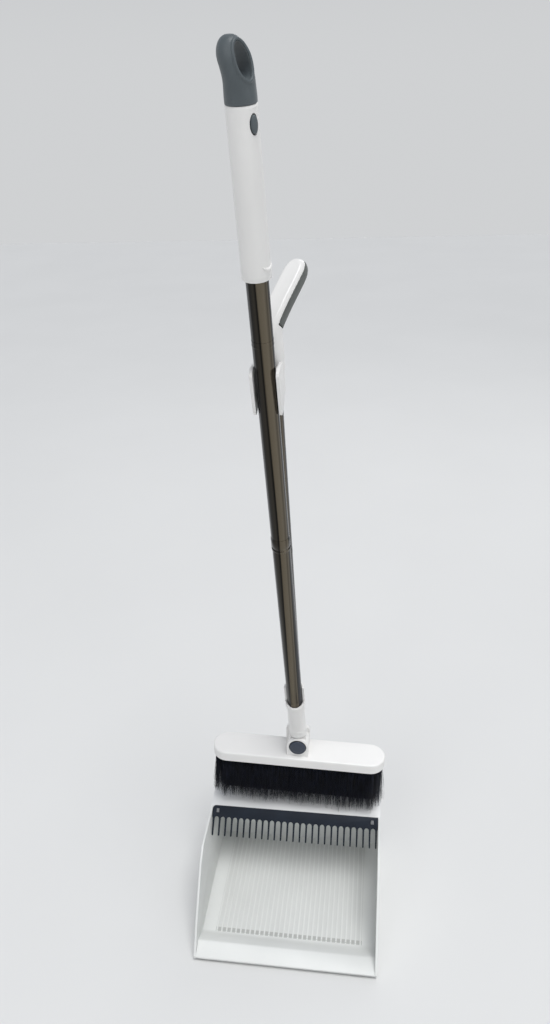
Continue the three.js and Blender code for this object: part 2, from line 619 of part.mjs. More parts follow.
// The rear cheek stands up behind the socket's neck, wide enough to show on both sides of it.
function makeRearCheek() {
  const r = REAR_CHEEK_CORNER;
  const outline = [[-REAR_CHEEK_HALF, HEAD_TOP - 1.5], [REAR_CHEEK_HALF, HEAD_TOP - 1.5]];
  [1, -1].forEach((side) => {
    for (let i = 0; i <= 6; i++) {
      const a = ((side > 0 ? i : 6 - i) / 6) * (Math.PI / 2);
      outline.push([side * (REAR_CHEEK_HALF - r + r * Math.cos(a)), REAR_CHEEK_TOP - r + r * Math.sin(a)]);
    }
  });
  return loft([CHEEK_IN, CHEEK_OUT].map((y) => outline.map(
    ([x, z]) => new THREE.Vector3(x + REAR_CHEEK_X, y, z))));
}

function makeHeadShell() {
  const d = HEAD_DEPTH / 2;
  const skin = loft([
    stadium(HEAD_HALF - 0.6, d - 0.6, HEAD_BOTTOM), stadium(HEAD_HALF, d, HEAD_BOTTOM + 0.8),
    stadium(HEAD_HALF, d, HEAD_TOP - 3.5), stadium(HEAD_HALF - 1, d - 1, HEAD_TOP - 1.2),
    stadium(HEAD_HALF - 3.6, d - 3.6, HEAD_TOP),
  ]);
  const cavity = loft([
    stadium(HEAD_HALF - 2.4, d - 2.4, HEAD_BOTTOM - 1), stadium(HEAD_HALF - 2.4, d - 2.4, HEAD_TOP - 2.6),
  ]);
  const foot = (halfWidth, top) => block(
    -halfWidth, halfWidth, -CHEEK_OUT, -CHEEK_IN, HEAD_TOP - 1.5, top);
  const frontCheek = join(
    rodAlongY(-CHEEK_OUT, -CHEEK_IN, FRONT_CHEEK_R, 32), foot(FRONT_CHEEK_R * 0.92, -7));
  const plates = [frontCheek, makeRearCheek()];
  const pinHole = rodAlongY(-20, 20, PIN_R + GAP, 18);
  const posts = BASE_SCREW_X.map((x) => rod(HEAD_BOTTOM + BASE_THICK + GAP, HEAD_TOP - 2, 4, 4, 14)
    .translate(x, 0, 0));
  const screwHoles = BASE_SCREW_X.map((x) => rod(HEAD_BOTTOM, HEAD_TOP - 4, SCREW_R + GAP, SCREW_R + GAP, 10)
    .translate(x, 0, 0));
  return cut(join(cut(skin, cavity), ...plates, ...posts), pinHole, ...screwHoles);
}

function addHead() {
  const d = HEAD_DEPTH / 2;
  part("head_shell", makeHeadShell(), WHITE, headFrame);
  part("head_pivot_pin", rodAlongY(-CHEEK_OUT, CHEEK_OUT, PIN_R, 18), SCREW, headFrame);
  const cap = (r) => rod(0, 2.9, r, r - 2.2, 28);
  part("pivot_cap_front", cap(11.2).rotateX(Math.PI / 2).translate(0, -CHEEK_OUT - GAP, 0), SLATE, headFrame);
  part("pivot_cap_rear", cap(9).rotateX(-Math.PI / 2).translate(0, CHEEK_OUT + GAP, 0), SLATE, headFrame);
  const inset = 2.4 + GAP;
  const plate = loft([
    stadium(HEAD_HALF - inset, d - inset, HEAD_BOTTOM),
    stadium(HEAD_HALF - inset, d - inset, HEAD_BOTTOM + BASE_THICK),
  ]);
  const upright = (x, z1, r, sides) => rod(HEAD_BOTTOM - 1, z1, r + GAP, r + GAP, sides).translate(x, 0, 0);
  const holes = BASE_SCREW_X.map((x) => upright(x, HEAD_TOP, SCREW_R, 10));
  const sinks = BASE_SCREW_X.map((x) => upright(x, HEAD_BOTTOM + 2.4, SCREW_HEAD_R, 14));
  part("bristle_base", cut(plate, ...holes, ...sinks), BLACK, headFrame);
  BASE_SCREW_X.forEach((x, i) => {
    const baseScrew = screw(7).rotateX(Math.PI).translate(x, 0, HEAD_BOTTOM + 2.1);
    part(`base_screw_${i + 1}`, baseScrew, SCREW, headFrame);
  });
  const bristles = loft([
    stadium(HEAD_HALF - 1.5, 19.3, BRISTLE_TIP, 6), stadium(HEAD_HALF - 3.6, 17.4, HEAD_BOTTOM - GAP, 6),
  ]);
  part("bristles", bristles, BRISTLE, headFrame);
}

addPan();
addPanHinge();
addDustPole();
addHandle();
addClip();
addBroomPole();
addHead();

export default set;
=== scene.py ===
"""Upright dustpan with a long-handled broom clipped to its pole, dressed for rendering.

Everything is in metres in the CAD model's frame: +Z up, the pan's mouth faces -Y, origin on the floor.
"""

import json
import math
import random

import bmesh
import bpy
from mathutils import Matrix, Vector


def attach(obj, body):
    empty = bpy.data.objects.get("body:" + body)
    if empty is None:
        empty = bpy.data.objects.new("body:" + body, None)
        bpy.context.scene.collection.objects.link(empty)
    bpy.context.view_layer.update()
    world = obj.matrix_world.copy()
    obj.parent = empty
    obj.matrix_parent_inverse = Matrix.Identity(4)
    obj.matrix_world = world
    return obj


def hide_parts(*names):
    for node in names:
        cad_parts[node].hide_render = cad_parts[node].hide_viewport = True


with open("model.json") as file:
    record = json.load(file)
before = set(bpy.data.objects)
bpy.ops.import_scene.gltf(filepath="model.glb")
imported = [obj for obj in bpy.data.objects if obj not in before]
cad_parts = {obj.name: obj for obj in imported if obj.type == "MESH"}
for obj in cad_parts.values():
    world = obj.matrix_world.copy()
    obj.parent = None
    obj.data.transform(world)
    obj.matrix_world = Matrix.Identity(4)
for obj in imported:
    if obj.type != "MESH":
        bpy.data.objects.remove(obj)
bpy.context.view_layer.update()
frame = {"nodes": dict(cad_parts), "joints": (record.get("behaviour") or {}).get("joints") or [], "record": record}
MM = 0.001

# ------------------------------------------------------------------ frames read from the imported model
JOINTS = {j["name"]: j for j in frame["joints"]}
PIN = Vector(JOINTS["pan_fold"]["pos_m"])
PIVOT = Vector(JOINTS["head_swivel"]["pos_m"])
LIFT = JOINTS["broom_lift"]["axis"]
LIFT_FROM_POLE = math.radians(45)
LEAN = math.atan2(-LIFT[1], LIFT[2]) - LIFT_FROM_POLE
SWAY = math.radians(0.6)
GRIP_TURN = math.radians(52)
HANDLE_TWIST = math.radians(-23.5)
HEAD_TILT = math.radians(1.8)

DUST = Matrix.Translation(PIN) @ Matrix.Rotation(LEAN, 4, "X")
HANDLE = DUST @ Matrix.Rotation(HANDLE_TWIST, 4, "Z")
BROOM = Matrix.Translation(PIVOT) @ Matrix.Rotation(LEAN, 4, "X") @ Matrix.Rotation(-SWAY, 4, "Y")
GRIP = BROOM @ Matrix.Rotation(GRIP_TURN, 4, "Z")
HEAD = Matrix.Translation(PIVOT) @ Matrix.Rotation(HEAD_TILT, 4, "Y")
LEVEL = Matrix.Translation(PIVOT)


def span(node, matrix):
    """A node's lowest and highest corners in a frame of its own, in millimetres."""
    back = matrix.inverted()
    points = [back @ v.co for v in frame["nodes"][node].data.vertices]
    return [tuple(f(p[i] for p in points) / MM for i in range(3)) for f in (min, max)]


# ------------------------------------------------------------------ materials
def material(name, color, rough, metal=0.0, tint=0.04, tint_scale=30.0, bump=0.1, bump_scale=900.0,
             rough_spread=0.06, coat=0.0, sheen=0.0, stretch=(1, 1, 1), specular=0.5, contrast=(0.35, 0.65)):
    """A moulded or drawn surface: a slow change of tint, a finer change of roughness and a fine bump."""
    mat = bpy.data.materials.new(name)
    mat.use_nodes = True
    nodes, links = mat.node_tree.nodes, mat.node_tree.links
    shader = nodes["Principled BSDF"]
    shader.inputs["Metallic"].default_value = metal
    shader.inputs["Coat Weight"].default_value = coat
    shader.inputs["Coat Roughness"].default_value = 0.12
    shader.inputs["Sheen Weight"].default_value = sheen
    shader.inputs["Specular IOR Level"].default_value = specular
    where = nodes.new("ShaderNodeTexCoord")
    place = nodes.new("ShaderNodeMapping")
    place.inputs["Scale"].default_value = stretch
    links.new(where.outputs["Object"], place.inputs["Vector"])

    slow = nodes.new("ShaderNodeTexNoise")
    slow.inputs["Scale"].default_value = tint_scale
    slow.inputs["Detail"].default_value = 6
    links.new(place.outputs["Vector"], slow.inputs["Vector"])
    ramp = nodes.new("ShaderNodeValToRGB")
    ramp.color_ramp.elements[0].position = contrast[0]
    ramp.color_ramp.elements[1].position = contrast[1]
    ramp.color_ramp.elements[0].color = [max(0, c * (1 - tint)) for c in color] + [1]
    ramp.color_ramp.elements[1].color = [min(1, c * (1 + tint)) for c in color] + [1]
    links.new(slow.outputs["Fac"], ramp.inputs["Fac"])
    links.new(ramp.outputs["Color"], shader.inputs["Base Color"])

    spread = nodes.new("ShaderNodeMapRange")
    spread.inputs["To Min"].default_value = max(0.02, rough - rough_spread)
    spread.inputs["To Max"].default_value = min(1, rough + rough_spread)
    smudge = nodes.new("ShaderNodeTexNoise")
    smudge.inputs["Scale"].default_value = tint_scale * 3
    smudge.inputs["Detail"].default_value = 4
    links.new(place.outputs["Vector"], smudge.inputs["Vector"])
    links.new(smudge.outputs["Fac"], spread.inputs["Value"])
    links.new(spread.outputs["Result"], shader.inputs["Roughness"])

    fine = nodes.new("ShaderNodeTexNoise")
    fine.inputs["Scale"].default_value = bump_scale
    fine.inputs["Detail"].default_value = 3
    links.new(place.outputs["Vector"], fine.inputs["Vector"])
    relief = nodes.new("ShaderNodeBump")
    relief.inputs["Strength"].default_value = bump
    relief.inputs["Distance"].default_value = 0.0002
    links.new(fine.outputs["Fac"], relief.inputs["Height"])
    links.new(relief.outputs["Normal"], shader.inputs["Normal"])
    return mat


WHITE = material("white_moulded", (0.785, 0.775, 0.755), 0.32, tint=0.02, tint_scale=14, bump=0.05, coat=0.12)
GLOSS = material("hood_white", (0.74, 0.745, 0.74), 0.16, tint=0.02, tint_scale=10, bump=0.03, coat=0.4)
PAN_WHITE = material("pan_white", (0.70, 0.71, 0.69), 0.5, tint=0.035, tint_scale=9, bump=0.08, coat=0.02,
                     specular=0.35)
SLATE = material("slate_soft_touch", (0.072, 0.088, 0.096), 0.46, tint=0.08, tint_scale=40, bump=0.22,
                 bump_scale=1500, sheen=0.12)
CAP_SLATE = material("cap_slate", (0.032, 0.042, 0.064), 0.42, tint=0.1, tint_scale=60, bump=0.12)
GREY = material("grey_soft_touch", (0.085, 0.092, 0.085), 0.55, tint=0.08, tint_scale=50, bump=0.25,
                bump_scale=1500, sheen=0.12)
NAVY = material("comb_navy", (0.011, 0.0155, 0.024), 0.5, tint=0.15, tint_scale=35, bump=0.12, specular=0.2)
FIXING = material("zinc_steel", (0.55, 0.55, 0.53), 0.28, metal=1.0, tint=0.12, tint_scale=200, bump=0.1)
BLACK = material("satin_black", (0.012, 0.013, 0.015), 0.45, tint=0.2, tint_scale=60, bump=0.15)
# the strong tint change, stretched along the filaments, paints bluish glints on them
FIBRE = material("black_filament", (0.0035, 0.0045, 0.009), 0.42, tint=2.4, tint_scale=420, bump=0.0,
                 stretch=(1, 1, 0.1), specular=0.22)
# a dark grey that paints the shade on the hood's snap tabs
TAB_SHADE_GREY = material("tab_painted_shade", (0.16, 0.165, 0.17), 0.45, tint=0.1, bump=0.1)


def math_node(mat, how, *values):
    """A math node fed by numbers and sockets; None leaves an input as it is."""
    node = mat.node_tree.nodes.new("ShaderNodeMath")
    node.operation = how
    for socket, value in zip(node.inputs, values):
        if isinstance(value, (int, float)):
            socket.default_value = value
        elif value is not None:
            mat.node_tree.links.new(value, socket)
    return node.outputs["Value"]


# the pan's floor ribs, in metres
RIB_PITCH, RIB_HALF, RIB_FRONT, RIB_REAR, FLOOR_TOP = 0.0066, 0.0008, -0.0775, 0.078, 0.0036
RIBS_EACH_SIDE = 15.3
# painted shade: how much the grooves darken along the ribs and at the ribs' front ends, and the shade's colour
LINE_SHADE, DASH_SHADE, GROOVE_SHADE_COLOR = 0.13, 0.34, (0.10, 0.10, 0.09, 1)


def shade_grooves(mat):
    """Paints shade on the floor between the pan's ribs, heaviest at the ribs' front ends."""
    nodes, links = mat.node_tree.nodes, mat.node_tree.links
    shader = nodes["Principled BSDF"]
    tint = shader.inputs["Base Color"].links[0].from_socket
    where = nodes.new("ShaderNodeTexCoord")
    split = nodes.new("ShaderNodeSeparateXYZ")
    links.new(where.outputs["Object"], split.inputs["Vector"])

    def both(a, b):
        return math_node(mat, "MULTIPLY", a, b)

    def between(value, start, stop):
        return both(math_node(mat, "GREATER_THAN", value, start), math_node(mat, "LESS_THAN", value, stop))

    x, y, z = (split.outputs[axis] for axis in "XYZ")
    # 40 pitches, more than the pan is wide, keep the value positive without moving the ribs
    shifted = math_node(mat, "ADD", x, 40 * RIB_PITCH)
    from_rib = math_node(mat, "PINGPONG", shifted, RIB_PITCH / 2)
    groove = math_node(mat, "GREATER_THAN", from_rib, RIB_HALF * 1.3)
    on_floor = math_node(mat, "LESS_THAN", z, FLOOR_TOP)
    across = math_node(mat, "LESS_THAN", math_node(mat, "ABSOLUTE", x), RIBS_EACH_SIDE * RIB_PITCH)
    floor = both(both(groove, on_floor), across)
    lines = both(floor, between(y, RIB_FRONT, RIB_REAR))
    dashes = both(floor, between(y, RIB_FRONT - 0.001, RIB_FRONT + 0.0055))
    dark = math_node(mat, "ADD", both(lines, LINE_SHADE), both(dashes, DASH_SHADE))
    mix = nodes.new("ShaderNodeMix")
    mix.data_type = "RGBA"
    links.new(dark, mix.inputs["Factor"])
    links.new(tint, mix.inputs["A"])
    mix.inputs["B"].default_value = GROOVE_SHADE_COLOR
    links.new(mix.outputs["Result"], shader.inputs["Base Color"])


shade_grooves(PAN_WHITE)


def steel_painted_reflections():
    """Polished tube: dark and olive bands along the length are painted reflections, laid over fine scratches."""
    mat = material("steel_painted_reflections", (0.2, 0.18, 0.14), 0.2, metal=1.0, tint=0.3, bump=0.1, bump_scale=500,
                   rough_spread=0.07, stretch=(1, 1, 0.01))
    nodes, links = mat.node_tree.nodes, mat.node_tree.links
    shader = nodes["Principled BSDF"]
    where = nodes.new("ShaderNodeTexCoord")
    split = nodes.new("ShaderNodeSeparateXYZ")
    links.new(where.outputs["Object"], split.inputs["Vector"])
    angle = math_node(mat, "ARCTAN2", split.outputs["Y"], split.outputs["X"])

    noise = nodes.new("ShaderNodeTexNoise")
    noise.inputs["Scale"].default_value = 170
    noise.inputs["Detail"].default_value = 5
    place = nodes.new("ShaderNodeMapping")
    place.inputs["Scale"].default_value = (1, 1, 0.012)
    links.new(where.outputs["Object"], place.inputs["Vector"])
    links.new(place.outputs["Vector"], noise.inputs["Vector"])
    wobble = math_node(mat, "MULTIPLY_ADD", noise.outputs["Fac"], 0.55, angle)
    # the painted reflection bands turn slowly round the tube, up to a height of 0.4 m
    drift = nodes.new("ShaderNodeMapRange")
    drift.inputs["From Min"].default_value = 0.05
    drift.inputs["From Max"].default_value = 0.40
    drift.inputs["To Min"].default_value = 0.62
    drift.inputs["To Max"].default_value = 0.0
    links.new(split.outputs["Z"], drift.inputs["Value"])
    drifted = math_node(mat, "ADD", wobble, drift.outputs["Result"])
    repeat = math_node(mat, "FRACT", math_node(mat, "MULTIPLY", drifted, 1 / math.pi))

    bands = nodes.new("ShaderNodeValToRGB")
    ramp = bands.color_ramp
    # painted reflections: dark, navy and olive bands in the base colour, on top of the metal's own reflections
    reflection_stops = [(0.0, (0.05, 0.048, 0.045)), (0.09, (0.010, 0.011, 0.016)), (0.22, (0.012, 0.014, 0.024)),
             (0.30, (0.10, 0.098, 0.095)), (0.36, (0.022, 0.021, 0.020)), (0.50, (0.040, 0.036, 0.030)),
             (0.585, (0.006, 0.006, 0.006)), (0.63, (0.125, 0.105, 0.076)), (0.80, (0.150, 0.128, 0.095)),
             (0.87, (0.085, 0.074, 0.058)), (0.93, (0.15, 0.13, 0.10)), (0.985, (0.018, 0.018, 0.020))]
    ramp.elements[0].position, ramp.elements[0].color = reflection_stops[0][0], (*reflection_stops[0][1], 1)
    ramp.elements[1].position, ramp.elements[1].color = reflection_stops[-1][0], (*reflection_stops[-1][1], 1)
    for at, color in reflection_stops[1:-1]:
        ramp.elements.new(at).color = (*color, 1)
    links.new(repeat, bands.inputs["Fac"])
    links.new(bands.outputs["Color"], shader.inputs["Base Color"])
    return mat


TUBE = steel_painted_reflections()
SLOTS = {
    "white_plastic": WHITE, "slate_soft": SLATE, "grey_soft": GREY, "comb_plastic": NAVY,
    "tube_steel": TUBE, "fixing_steel": FIXING, "black_plastic": BLACK, "bristle_fibre": FIBRE,
}
NODE_SLOT = {s["node"]: s["material_slot"] for s in frame["record"]["subparts"]}
NODE_BODY = {n: body for body, group in frame["record"]["behaviour"]["bodies"].items() for n in group}
for name, node in frame["nodes"].items():
    node.data.materials.clear()
    node.data.materials.append(SLOTS[NODE_SLOT[name]])


# ------------------------------------------------------------------ mesh helpers
def new_object(name, points, faces, matrix=Matrix.Identity(4)):
    """A mesh from points in millimetres, placed by matrix."""
    mesh = bpy.data.meshes.new(name)
    mesh.from_pydata([Vector(p) * MM for p in points], [], faces)
    mesh.validate()
    bm = bmesh.new()
    bm.from_mesh(mesh)
    bmesh.ops.recalc_face_normals(bm, faces=bm.faces)
    bm.to_mesh(mesh)
    bm.free()
    obj = bpy.data.objects.new(name, mesh)
    obj.matrix_world = matrix
    bpy.context.scene.collection.objects.link(obj)
    return obj


def lathe(name, profile, matrix=Matrix.Identity(4), sides=72, closed=False):
    """A turned shape about Z from (radius, height) pairs; a radius of 0 closes it at a point."""
    points, rings = [], []
    for r, z in profile:
        if r == 0:
            rings.append([len(points)] * sides)
            points.append((0, 0, z))
        else:
            rings.append(list(range(len(points), len(points) + sides)))
            points += [(r * math.cos(a), r * math.sin(a), z)
                       for a in (2 * math.pi * i / sides for i in range(sides))]
    pairs = list(zip(rings, rings[1:])) + ([(rings[-1], rings[0])] if closed else [])
    faces = []
    for a, b in pairs:
        for i in range(sides):
            j = (i + 1) % sides
            corners = [a[i], a[j], b[j], b[i]]
            faces.append([c for k, c in enumerate(corners) if c not in corners[:k]])
    return new_object(name, points, faces, matrix)


def loft(name, rings, matrix=Matrix.Identity(4)):
    """A closed skin over rings of equally many points."""
    n = len(rings[0])
    points = [p for ring in rings for p in ring]
    faces = [list(range(n)), list(range(len(points) - n, len(points)))]
    for k in range(len(rings) - 1):
        for i in range(n):
            j = (i + 1) % n
            faces.append([k * n + i, k * n + j, k * n + n + j, k * n + n + i])
    return new_object(name, points, faces, matrix)


def box(name, x0, x1, y0, y1, z0, z1, matrix=Matrix.Identity(4)):
    ring = [(x0, y0), (x1, y0), (x1, y1), (x0, y1)]
    return loft(name, [[(x, y, z) for x, y in ring] for z in (z0, z1)], matrix)


def apply_modifiers(obj):
    bpy.context.view_layer.update()
    done = obj.evaluated_get(bpy.context.evaluated_depsgraph_get())
    mesh = bpy.data.meshes.new_from_object(done)
    obj.modifiers.clear()
    obj.data = mesh
    return obj


def combine(obj, other, how):
    """Joins, cuts or intersects obj with other, which is used up."""
    mod = obj.modifiers.new("combine", "BOOLEAN")
    mod.operation = how
    mod.solver = "EXACT"
    mod.object = other
    apply_modifiers(obj)
    bpy.data.objects.remove(other)
    return obj


def soft_edges(obj, width, segments=3, angle=32):
    """Rounds the sharp edges, once coplanar triangles have been merged."""
    bm = bmesh.new()
    bm.from_mesh(obj.data)
    bmesh.ops.remove_doubles(bm, verts=bm.verts, dist=2e-6)
    bmesh.ops.dissolve_limit(bm, angle_limit=math.radians(0.6), verts=bm.verts, edges=bm.edges)
    for face in bm.faces:
        face.smooth = True
    bm.to_mesh(obj.data)
    bm.free()
    bevel = obj.modifiers.new("rounded", "BEVEL")
    bevel.width = width * MM
    bevel.segments = segments
    bevel.limit_method = "ANGLE"
    bevel.angle_limit = math.radians(angle)
    bevel.use_clamp_overlap = True
    bevel.harden_normals = True
    return obj


def smooth_by_angle(obj, angle=32):
    """Smooth shading, with the edges that turn by more than angle kept sharp."""
    bm = bmesh.new()
    bm.from_mesh(obj.data)
    for face in bm.faces:
        face.smooth = True
    for edge in bm.edges:
        edge.smooth = len(edge.link_faces) == 2 and edge.calc_face_angle() < math.radians(angle)
    bm.to_mesh(obj.data)
    bm.free()
    return obj


def melted(obj, voxel, rounds):
    """Turns a hard-edged solid into one soft moulded skin."""
    remesh = obj.modifiers.new("remesh", "REMESH")
    remesh.mode = "VOXEL"
    remesh.voxel_size = voxel * MM
    remesh.use_smooth_shade = True
    relax = obj.modifiers.new("relax", "SMOOTH")
    relax.factor = 0.5
    relax.iterations = rounds
    return apply_modifiers(obj)


def stand_for(obj, *nodes, look=None):
    """Dresses a piece, makes it ride where the nodes ride and hides them."""
    slot = NODE_SLOT[nodes[0]]
    obj.data.materials.clear()
    obj.data.materials.append(look or SLOTS[slot])
    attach(obj, NODE_BODY[nodes[0]])
    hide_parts(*nodes)
    return obj


def rounded_copy(node, width, look=None, segments=2):
    """The CAD node's own shape with its edges rounded."""
    mesh = frame["nodes"][node].data.copy()
    obj = bpy.data.objects.new(node + "_shaped", mesh)
    bpy.context.scene.collection.objects.link(obj)
    soft_edges(obj, width, segments)
    return stand_for(obj, node, look=look)


def disc(r, z0, z1, edge, sides=64):
    """The profile of a solid disc with rounded rims."""
    arc = [(r - edge + edge * math.sin(a), edge - edge * math.cos(a)) for a in
           (math.pi / 2 * k / 4 for k in range(5))]
    return [(0, z0)] + [(x, z0 + z) for x, z in arc] + [(x, z1 - z) for x, z in reversed(arc)] + [(0, z1)]


# ------------------------------------------------------------------ pan
# a point in Y and Z, in mm, on the hood's sloping front; the snap tabs stand out of that slope
SLOPE_POINT = (39, 116.7)
rounded_copy("pan_tray", 0.55, look=PAN_WHITE)
hood = rounded_copy("pan_hood", 0.7, look=GLOSS)
hood.data.materials.append(TAB_SHADE_GREY)
# the snap-tab faces inside this wedge get the dark grey: painted shade
for face in hood.data.polygons:
    along, up = face.center.y / MM - SLOPE_POINT[0], face.center.z / MM - SLOPE_POINT[1]
    if up - along > 1 and up + along < -1.5:
        face.material_index = 1
rounded_copy("comb", 0.35)
rounded_copy("pole_yoke", 0.6)
rounded_copy("broom_clip", 0.5)
rounded_copy("bristle_base", 0.5)
for side in ("left", "right"):
    rounded_copy("pan_hinge_cap_" + side, 0.5)


# ------------------------------------------------------------------ poles
def tube(node, matrix):
    """A thin-walled tube with softened ends."""
    (_, _, z0), (r, _, z1) = span(node, matrix)
    wall, lip = 0.8, 0.35
    profile = [(r - wall, z0 + lip), (r - wall + lip, z0), (r - lip, z0), (r, z0 + lip),
               (r, z1 - lip), (r - lip, z1), (r - wall + lip, z1), (r - wall, z1 - lip)]
    steps = 6
    middle = [(r, z0 + lip + (z1 - z0 - 2 * lip) * k / steps) for k in range(1, steps)]
    profile[4:4] = middle
    stand_for(smooth_by_angle(lathe(node + "_drawn", profile, matrix, closed=True)), node)


COLLAR_BORE, COLLAR_END_BORE, LONG_COLLAR = 10.12, 10.1, 10


def collar(node, matrix):
    """A rolled collar over a seam: one bead and a band when long, two thin beads when short."""
    (_, _, z0), (r, _, z1) = span(node, matrix)
    if z1 - z0 > LONG_COLLAR:
        profile = [(COLLAR_BORE, z0), (r - 0.25, z0), (r, z0 + 0.5), (r, z0 + 2.6),
                   (r - 0.45, z0 + 3.2), (r - 0.45, z0 + 4.2), (r - 0.05, z0 + 4.9),
                   (r - 0.05, z1 - 2.4), (r - 0.4, z1 - 1.2), (COLLAR_BORE, z1)]
    else:
        profile = [(COLLAR_END_BORE, z0), (r - 0.3, z0 + 0.2), (r - 0.2, z0 + 1.2),
                   (COLLAR_BORE, z0 + 2), (COLLAR_BORE, z1 - 2),
                   (r - 0.3, z1 - 1.2), (r - 0.4, z1 - 0.2), (COLLAR_END_BORE, z1)]
    stand_for(smooth_by_angle(lathe(node + "_rolled", profile, matrix, closed=True)), node)


for which in ("lower", "middle", "upper"):
    tube("dustpan_tube_" + which, DUST)
    tube("broom_tube_" + which, BROOM)
for which in ("lower", "upper"):
    collar("dustpan_collar_" + which, DUST)
    collar("broom_collar_" + which, BROOM)


# ------------------------------------------------------------------ dustpan pole's handle
def smoothstep(a, b, v):
    t = min(1, max(0, (v - a) / (b - a)))
    return t * t * (3 - 2 * t)


# the arm's centre line in the handle's Y and Z, in mm
ARM = [(0, 736), (0, 748), (0, 760), (4.6, 776), (20.5, 788.6), (43.5, 802.0), (68, 815.5)]


def arm_place(u):
    """A point on the arm's centre line and its direction, in the handle's Y and Z."""
    t = min(max(u, 0), 0.9999) * (len(ARM) - 1)
    i = int(t)
    f = t - i
    p = [ARM[max(0, min(len(ARM) - 1, i + k))] for k in (-1, 0, 1, 2)]

    def spline(axis, at):
        a, b, c, d = (q[axis] for q in p)
        square = (2 * a - 5 * b + 4 * c - d) * at ** 2
        return 0.5 * (2 * b + (c - a) * at + square + (3 * b - a - 3 * c + d) * at ** 3)

    here = Vector((spline(0, f), spline(1, f)))
    ahead = Vector((spline(0, f + 0.01), spline(1, f + 0.01)))
    return here, (ahead - here).normalized()


ARM_HALF_AT_SLEEVE, ARM_THINNING = 13.4, 2.4


def arm_sweep(name, u0, u1, low_h, high_h, grow=0.0, stations=44, around=48):
    """The arm's section swept along its line from u0 to u1, cut off at two heights."""
    rings = []
    for k in range(stations + 1):
        u = u0 + (u1 - u0) * k / stations
        here, way = arm_place(u)
        up = Vector((-way.y, way.x))
        to_tip = max(0, (u - 0.87) / 0.13)
        shrink = math.sqrt(max(0.05, 1 - 0.95 * min(1, to_tip) ** 2.6))
        half = ARM_HALF_AT_SLEEVE - ARM_THINNING * smoothstep(0.30, 0.56, u)
        ring = []
        for i in range(around):
            a = 2 * math.pi * i / around
            cx = math.copysign(abs(math.cos(a)) ** 0.8, math.cos(a)) * (half * shrink + grow)
            ch = math.copysign(abs(math.sin(a)) ** 0.8, math.sin(a)) * (half * shrink + grow)
            ch = min(high_h, half - 1.8 * smoothstep(0.4, 0.6, u), max(low_h, ch))
            ring.append((cx, here.x + up.x * ch, here.y + up.y * ch))
        rings.append(ring)
    return loft(name, rings, HANDLE)


SLEEVE_TOP, SLEEVE_BORE, SLEEVE_BORE_TOP = 752, 10.3, 758


def build_handle():
    """The white sleeve and arm, and the grey grip under the arm."""
    (_, _, z0), _ = span("handle_shell", HANDLE)
    outline = [(0, z0), (12.9, z0), (13.1, z0 + 1), (ARM_HALF_AT_SLEEVE, SLEEVE_TOP), (0, SLEEVE_TOP)]
    sleeve = lathe("handle_sleeve", outline, HANDLE)
    shell = arm_sweep("handle_white", 0, 1, -99, 99)
    combine(shell, sleeve, "UNION")
    slant = box("slant", -30, 30, -60, 60, -20, 0, HANDLE @ Matrix.Translation(Vector((0, 0, z0 + 3)) * MM)
                @ Matrix.Rotation(0.35, 4, "X"))
    combine(shell, slant, "DIFFERENCE")
    hole = [(0, z0 - 5), (SLEEVE_BORE, z0 - 5), (SLEEVE_BORE, SLEEVE_BORE_TOP), (0, SLEEVE_BORE_TOP)]
    bore = lathe("bore", hole, HANDLE)
    combine(shell, bore, "DIFFERENCE")
    under = arm_sweep("under", 0.53, 1.02, -40, 4.6, grow=14)
    combine(shell, under, "DIFFERENCE")
    melted(shell, 0.55, 4)
    stand_for(shell, "handle_shell")
    grip = arm_sweep("handle_grey", 0.54, 1, -99, 4.3)
    melted(grip, 0.5, 4)
    stand_for(grip, "handle_grip")


build_handle()


# ------------------------------------------------------------------ broom's grip, loop and tab
TAB_Z = 787.5
GRIP_BOTTOM, GRIP_TOP, LOOP_BASE, LOOP_TALL = 667.5, 800.5, 800.8, 43.0
EYE_RIM_RADIUS = 1.25


def oval_prism(name, half_height, half_width, y0, y1, dome=0.0, sides=48):
    """An upright oval bar along Y; dome rounds off its front end."""
    stages = [(y1, 1), (y0 + dome, 1)]
    if dome:
        stages += [(y0 + dome * (1 - math.sin(a)), 1 - 0.28 * (1 - math.cos(a))) for a in (0.5, 1.0, 1.4)]
    rings = [[(half_width * k * math.cos(a), y, TAB_Z + half_height * k * math.sin(a))
              for a in (2 * math.pi * i / sides for i in range(sides))] for y, k in stages]
    return loft(name, rings, GRIP)


def build_grip():
    """The white grip with its window, the lip at its foot and the tab in the window."""
    z0, z1 = GRIP_BOTTOM, GRIP_TOP
    profile = [(10.3, z0), (12.3, z0), (12.8, z0 + 0.6), (12.85, z0 + 5)]
    profile += [(12.75 - 0.35 * k / 8, z0 + 14 + (z1 - z0 - 16) * k / 8) for k in range(9)]
    profile += [(12.2, z1 - 0.4), (11.8, z1), (10.3, z1)]
    sleeve = lathe("grip_white", profile, GRIP, sides=96, closed=True)
    combine(sleeve, oval_prism("window", 7.6, 4.1, -20, -5), "DIFFERENCE")
    soft_edges(sleeve, 0.35, 2, 40)
    stand_for(sleeve, "grip_sleeve")

    rings = []
    for k in range(25):
        a = math.radians(-78 + 62 * (k / 24 - 0.5))
        thick = 1.7 * math.cos(math.pi * (k / 24 - 0.5)) ** 0.5 if 0 < k < 24 else 0.05
        middle = z0 + 9.5 + 2.4 * (k / 24 - 0.5) ** 2 * 6
        ring = []
        for i in range(12):
            b = 2 * math.pi * i / 12
            r = 12.9 + 0.85 * thick * math.cos(b)
            ring.append((r * math.cos(a), r * math.sin(a), middle + thick * math.sin(b)))
        rings.append(ring)
    lip = smooth_by_angle(loft("grip_lip", rings, GRIP), 60)
    lip.data.materials.append(WHITE)
    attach(lip, "broom_pole")

    tab = oval_prism("tab_slate", 6.6, 3.2, -13.6, -4.4, dome=1.0)
    stand_for(smooth_by_angle(tab, 50), "loop_release_tab")


